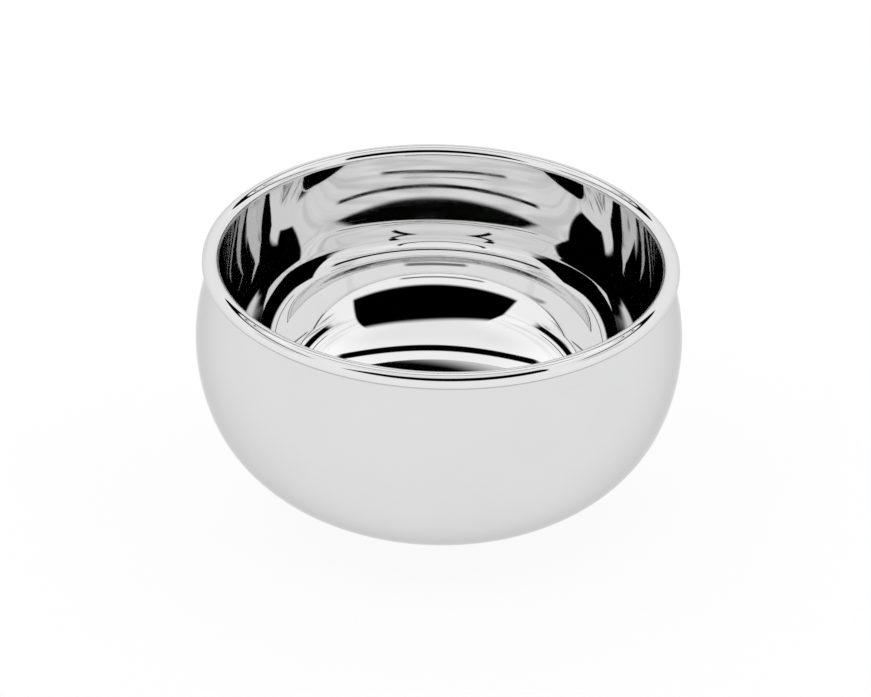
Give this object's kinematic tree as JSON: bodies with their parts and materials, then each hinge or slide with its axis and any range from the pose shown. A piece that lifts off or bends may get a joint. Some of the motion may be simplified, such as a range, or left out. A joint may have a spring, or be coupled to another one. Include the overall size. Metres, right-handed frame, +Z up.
{
  "type": "shaving bowl",
  "caption": "Round double-walled shaving lather bowl with a bulging side, a rolled rim, a dished inside and a flat ring base.",
  "frame": {"origin": "centre of the plane that the bowl stands on", "axes": "+Z up along the bowl's axis of symmetry; X and Y are level, and the bowl is the same all round"},
  "size_m": [0.115, 0.115, 0.059],
  "materials": {
    "inner_chrome": "mirror polished",
    "outer_chrome": "mirror polished",
    "base_chrome": "polished, worn by use"
  },
  "bodies": {
    "root": {"inner_bowl": "inner_chrome", "outer_shell": "outer_chrome", "base_plate": "base_chrome"}
  },
  "joints": []
}
